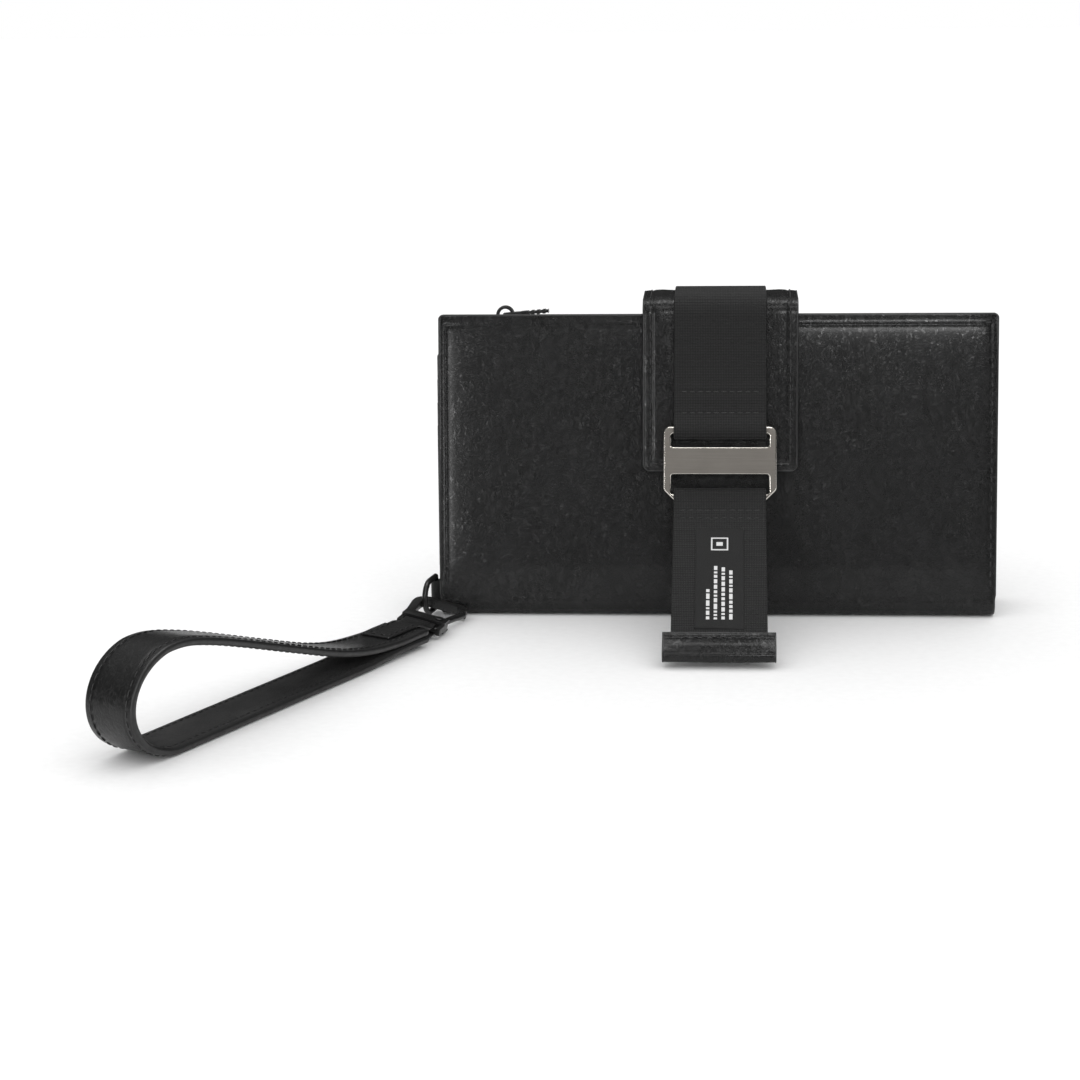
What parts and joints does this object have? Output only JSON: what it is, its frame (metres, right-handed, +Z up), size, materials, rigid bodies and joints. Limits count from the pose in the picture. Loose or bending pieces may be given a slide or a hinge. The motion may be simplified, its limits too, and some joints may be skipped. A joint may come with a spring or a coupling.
{
  "type": "wristlet pouch",
  "caption": "Leather wristlet wallet with a zipped pocket, card pockets, a webbing closing tab with buckle and tail, and a clip-on wrist strap.",
  "frame": {"origin": "centre of the base, on the surface it stands on", "axes": "+Z up, the front with the buckle faces -Y, X runs along the width"},
  "size_m": [0.3076, 0.2338, 0.1219],
  "materials": {
    "leather": "glazed, fine crinkled grain",
    "card_leather": "satin",
    "lining": "matt twill",
    "webbing": "ribbed nylon webbing",
    "label": "satin woven label with light print",
    "zip_tape": "woven tape",
    "zip_teeth": "satin nylon",
    "black_metal": "satin black",
    "snap_metal": "satin",
    "nickel": "fine brushed nickel with bright bevels"
  },
  "bodies": {
    "pouch": {"cover_back": "leather", "cover_spine": "leather", "back_lining": "lining", "pocket_front_wall": "lining", "pocket_floor": "lining", "pocket_side_left": "lining", "pocket_side_right": "lining", "zip_tape_back": "zip_tape", "zip_tape_front": "zip_tape", "zip_teeth_back": "zip_teeth", "zip_teeth_front": "zip_teeth", "zip_stops": "black_metal", "card_panel": "card_leather", "card_pocket_1": "card_leather", "card_pocket_2": "card_leather", "card_pocket_3": "card_leather", "tab_back": "leather", "webbing_back": "webbing", "ring_loop": "leather"},
    "front_cover": {"cover_front": "leather", "front_lining": "lining", "snap_socket": "snap_metal"},
    "tab": {"tab_front": "leather", "tab_lining": "lining", "webbing_front": "webbing", "snap_stud": "snap_metal"},
    "buckle": {"buckle": "nickel"},
    "tail": {"webbing_tail": "webbing", "tail_label": "label", "tail_end": "leather"},
    "slider": {"zip_slider": "black_metal"},
    "puller": {"puller_link": "black_metal", "puller_grip": "black_metal"},
    "ring": {"d_ring": "black_metal"},
    "clip": {"clip_body": "black_metal", "clip_screw": "black_metal"},
    "gate": {"clip_gate": "black_metal"},
    "wristlet": {"wrist_strap": "leather", "wrist_keeper": "leather"}
  },
  "joints": [
    {"name": "tab_open", "type": "hinge", "parent": "pouch", "child": "tab", "pos_m": [0.0015, 0.01235, 0.1219], "axis": [-1, 0, 0], "range_deg": [0, 170]},
    {"name": "front_cover_open", "type": "hinge", "parent": "pouch", "child": "front_cover", "pos_m": [0, -0.0149, 0.00691], "axis": [1, 0, 0], "range_deg": [0, 20.4]},
    {"name": "buckle_swing", "type": "hinge", "parent": "tab", "child": "buckle", "pos_m": [0.0015, -0.01234, 0.07232], "axis": [-1, 0, 0], "range_deg": [0, 80]},
    {"name": "tail_swing", "type": "hinge", "parent": "buckle", "child": "tail", "pos_m": [0.0015, -0.01633, 0.04713], "axis": [-1, 0, 0], "range_deg": [-50, 60]},
    {"name": "zip_slide", "type": "slide", "parent": "pouch", "child": "slider", "axis": [1, 0, 0], "range_m": [0, 0.16]},
    {"name": "puller_flip", "type": "hinge", "parent": "slider", "child": "puller", "pos_m": [-0.082, 0.02009, 0.11157], "axis": [0, -0.9962, 0.0872], "range_deg": [0, 140]},
    {"name": "ring_swing", "type": "hinge", "parent": "pouch", "child": "ring", "pos_m": [-0.1086, -0.0092, 0.008], "axis": [0, 0, 1], "range_deg": [-60, 0]},
    {"name": "clip_lift", "type": "hinge", "parent": "ring", "child": "clip", "pos_m": [-0.11003, -0.01663, 0.00554], "axis": [-0.9781, 0.2079, 0], "range_deg": [0, 45]},
    {"name": "gate_press", "type": "hinge", "parent": "clip", "child": "gate", "pos_m": [-0.10434, -0.04022, 0.00332], "axis": [0.2034, -0.0432, 0.9781], "range_deg": [0, 18], "stiffness_Nm_per_rad": 0.02, "springref_deg": -5.73},
    {"name": "strap_swing", "type": "hinge", "parent": "clip", "child": "wristlet", "pos_m": [-0.1109, -0.0466, 0.0044], "axis": [-0.9568, 0.2034, 0.2079], "range_deg": [-40, 25]}
  ],
  "couplings": [
    {"joint": "front_cover_open", "follows": "tab_open", "ratio": 0.12}
  ]
}
